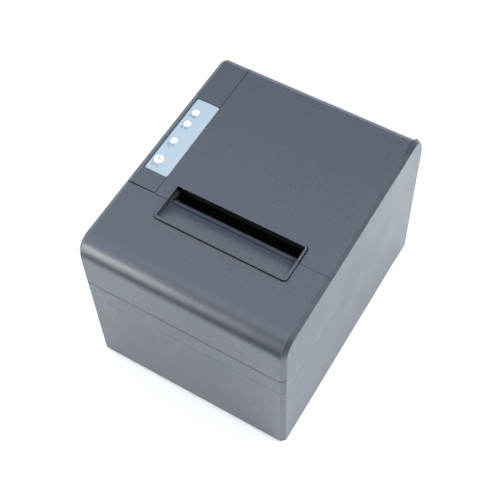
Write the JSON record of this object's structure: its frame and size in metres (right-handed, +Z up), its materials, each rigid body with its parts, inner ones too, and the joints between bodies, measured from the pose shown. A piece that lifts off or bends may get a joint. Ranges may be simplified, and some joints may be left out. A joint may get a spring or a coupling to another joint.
{
  "type": "receipt printer",
  "caption": "Desktop thermal receipt printer with a hinged paper lid, a sliding front cover, an auto cutter, a gear-driven platen and rear connectors.",
  "frame": {"origin": "centre of the bounding box's base, on the surface the rubber feet stand on", "axes": "+X to the printer's right seen from the front, +Y from the front face to the rear, +Z up"},
  "size_m": [0.1468, 0.1836, 0.1354],
  "materials": {
    "case_plastic": "fine spark-eroded charcoal ABS",
    "inner_plastic": "satin black engineering plastic",
    "sheet_steel": "zinc-plated sheet",
    "blade_steel": "ground",
    "rubber": "matt",
    "acetal": "moulded",
    "board": "solder mask",
    "brass": "machined",
    "label_film": "pale blue printed film",
    "lens_plastic": "milky",
    "aluminium": "extruded",
    "motor_case": "black coated",
    "ceramic": "glazed thermal line substrate"
  },
  "bodies": {
    "chassis": {"base_plate": "case_plastic", "case_screw_front_left": "sheet_steel", "case_screw_front_right": "sheet_steel", "case_screw_rear_left": "sheet_steel", "case_screw_rear_right": "sheet_steel", "control_board": "board", "control_label": "label_film", "cutter_motor": "motor_case", "cutter_tray": "sheet_steel", "dc_inlet": "inner_plastic", "drawer_port": "inner_plastic", "error_led_lens": "lens_plastic", "feed_motor": "motor_case", "foot_front_left": "rubber", "foot_front_right": "rubber", "foot_rear_left": "rubber", "foot_rear_right": "rubber", "head_spring_left": "sheet_steel", "head_spring_right": "sheet_steel", "hinge_pin_left": "sheet_steel", "hinge_pin_right": "sheet_steel", "idler_pin": "sheet_steel", "interface_plate": "sheet_steel", "lan_port": "sheet_steel", "latch_pin": "sheet_steel", "lower_case": "case_plastic", "main_board": "board", "mechanism_frame": "sheet_steel", "paper_end_sensor": "inner_plastic", "paper_led_lens": "lens_plastic", "power_led_lens": "lens_plastic", "roll_bucket": "inner_plastic", "serial_port": "sheet_steel", "switch_body": "inner_plastic", "upper_case": "case_plastic", "usb_port": "sheet_steel"},
    "lid": {"paper_lid": "case_plastic", "lid_liner": "inner_plastic", "fixed_blade": "blade_steel", "platen_bushing_left": "acetal", "platen_bushing_right": "acetal"},
    "platen": {"platen_shaft": "sheet_steel", "platen_roller": "rubber", "platen_gear": "acetal"},
    "idler": {"idler_gear": "acetal"},
    "pinion": {"motor_pinion": "brass"},
    "cover": {"front_cover": "case_plastic", "tear_bar": "blade_steel"},
    "feed_key": {"feed_button": "lens_plastic"},
    "release_key": {"release_button": "inner_plastic"},
    "latch": {"latch_hook": "inner_plastic"},
    "rocker": {"power_rocker": "inner_plastic"},
    "crank": {"cutter_crank": "acetal"},
    "blade": {"moving_blade": "blade_steel"},
    "head": {"print_head": "ceramic", "head_heatsink": "aluminium"}
  },
  "joints": [
    {"name": "lid_hinge", "type": "hinge", "parent": "chassis", "child": "lid", "pos_m": [0, 0.07625, 0.1274], "axis": [-1, 0, 0], "range_deg": [0, 95]},
    {"name": "platen_spin", "type": "hinge", "parent": "lid", "child": "platen", "pos_m": [0.004, -0.01825, 0.108], "axis": [1, 0, 0], "continuous": true},
    {"name": "idler_spin", "type": "hinge", "parent": "chassis", "child": "idler", "pos_m": [-0.0479, -0.02389, 0.08881], "axis": [1, 0, 0], "continuous": true},
    {"name": "pinion_spin", "type": "hinge", "parent": "chassis", "child": "pinion", "pos_m": [-0.0479, -0.03575, 0.084], "axis": [1, 0, 0], "continuous": true},
    {"name": "front_cover_slide", "type": "slide", "parent": "chassis", "child": "cover", "axis": [0, -1, 0], "range_m": [0, 0.012]},
    {"name": "feed_button_press", "type": "slide", "parent": "chassis", "child": "feed_key", "axis": [0, 0, -1], "range_m": [0, 0.0012], "stiffness_N_per_m": 500, "springref_m": -0.001},
    {"name": "release_button_press", "type": "slide", "parent": "chassis", "child": "release_key", "axis": [1, 0, 0], "range_m": [0, 0.003], "stiffness_N_per_m": 500, "springref_m": -0.001},
    {"name": "latch_turn", "type": "hinge", "parent": "chassis", "child": "latch", "pos_m": [-0.061, 0.00025, 0.109], "axis": [0, -1, 0], "range_deg": [0, 17.1]},
    {"name": "power_rocker_tip", "type": "hinge", "parent": "chassis", "child": "rocker", "pos_m": [-0.0689, -0.05975, 0.04], "axis": [0, 0, -1], "range_deg": [0, 14]},
    {"name": "cutter_crank_turn", "type": "hinge", "parent": "chassis", "child": "crank", "pos_m": [0.022, -0.06475, 0.115], "axis": [0, 0, 1], "range_deg": [0, 180]},
    {"name": "blade_slide", "type": "slide", "parent": "chassis", "child": "blade", "axis": [0, 1, 0], "range_m": [0, 0.008]},
    {"name": "head_tilt", "type": "hinge", "parent": "chassis", "child": "head", "pos_m": [0.004, -0.02404, 0.09755], "axis": [1, 0, 0], "range_deg": [0, 1.5], "stiffness_Nm_per_rad": 4, "springref_deg": -2.86}
  ],
  "couplings": [
    {"joint": "idler_spin", "follows": "platen_spin", "ratio": -1.5},
    {"joint": "pinion_spin", "follows": "platen_spin", "ratio": 2.5},
    {"joint": "cutter_crank_turn", "follows": "blade_slide", "rad_per_m": 392.7},
    {"joint": "latch_turn", "follows": "release_button_press", "rad_per_m": 99.4}
  ]
}
